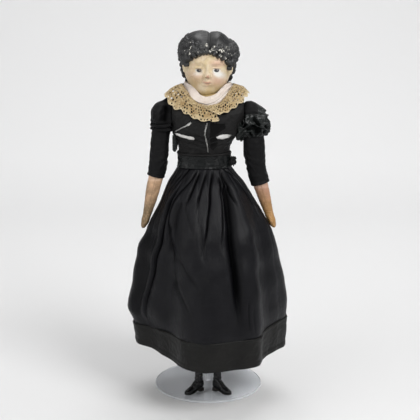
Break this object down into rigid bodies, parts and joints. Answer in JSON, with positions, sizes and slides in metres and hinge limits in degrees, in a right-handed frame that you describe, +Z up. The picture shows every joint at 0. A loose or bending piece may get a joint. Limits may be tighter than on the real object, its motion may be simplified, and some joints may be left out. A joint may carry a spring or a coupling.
{
  "type": "shoulder head doll",
  "caption": "Standing shoulder-head doll with moulded hair, black silk dress, lace collar and boots, its stuffed arms and legs hinged at the seams, on a clear disc stand.",
  "frame": {"origin": "on the underside of the stand's disc, plumb below the middle of the doll's body", "axes": "+Z up along the body, -Y the way the doll faces, +X towards the doll's left hand"},
  "size_m": [0.2187, 0.2209, 0.5066],
  "materials": {
    "painted_paper": "worn oil paint over papier-mache",
    "muslin": "plain unbleached muslin, firmly stuffed",
    "white_cotton": "plain white cotton",
    "black_silk": "thin worn silk with a soft sheen",
    "cream_lace": "yellowed cotton lace",
    "kid_leather": "worn brown kid",
    "black_leather": "smooth black leather",
    "clear_acrylic": "clear polished acrylic",
    "steel_wire": "bright drawn wire"
  },
  "bodies": {
    "doll_body": {"stand_disc": "clear_acrylic", "stand_post": "clear_acrylic", "stand_saddle": "steel_wire", "torso": "muslin", "shoulder_head": "painted_paper", "chemise": "white_cotton", "bodice": "black_silk", "neckband": "white_cotton", "lace_collar": "cream_lace", "waistband": "black_silk", "skirt": "black_silk", "hem_band": "black_silk", "petticoat": "white_cotton"},
    "left_arm": {"left_upper_arm": "muslin", "left_forearm": "kid_leather", "left_sleeve": "black_silk", "left_sleeve_puff": "black_silk"},
    "left_leg": {"left_thigh": "muslin"},
    "left_lower_leg": {"left_shin": "muslin", "left_boot": "black_leather", "left_boot_sole": "black_leather"},
    "right_arm": {"right_upper_arm": "muslin", "right_forearm": "kid_leather", "right_sleeve": "black_silk", "right_sleeve_puff": "black_silk"},
    "right_leg": {"right_thigh": "muslin"},
    "right_lower_leg": {"right_shin": "muslin", "right_boot": "black_leather", "right_boot_sole": "black_leather"}
  },
  "joints": [
    {"name": "left_shoulder", "type": "hinge", "parent": "doll_body", "child": "left_arm", "pos_m": [0.047, 0, 0.3993], "axis": [-1, 0, 0], "range_deg": [-30, 60]},
    {"name": "left_hip", "type": "hinge", "parent": "doll_body", "child": "left_leg", "pos_m": [0.0175, 0, 0.2338], "axis": [-1, 0, 0], "range_deg": [-12, 22]},
    {"name": "left_knee", "type": "hinge", "parent": "left_leg", "child": "left_lower_leg", "pos_m": [0.0175, 0, 0.1238], "axis": [1, 0, 0], "range_deg": [0, 28]},
    {"name": "right_shoulder", "type": "hinge", "parent": "doll_body", "child": "right_arm", "pos_m": [-0.047, 0, 0.3993], "axis": [-1, 0, 0], "range_deg": [-30, 60]},
    {"name": "right_hip", "type": "hinge", "parent": "doll_body", "child": "right_leg", "pos_m": [-0.0175, 0, 0.2338], "axis": [-1, 0, 0], "range_deg": [-12, 22]},
    {"name": "right_knee", "type": "hinge", "parent": "right_leg", "child": "right_lower_leg", "pos_m": [-0.0175, 0, 0.1238], "axis": [1, 0, 0], "range_deg": [0, 28]}
  ]
}
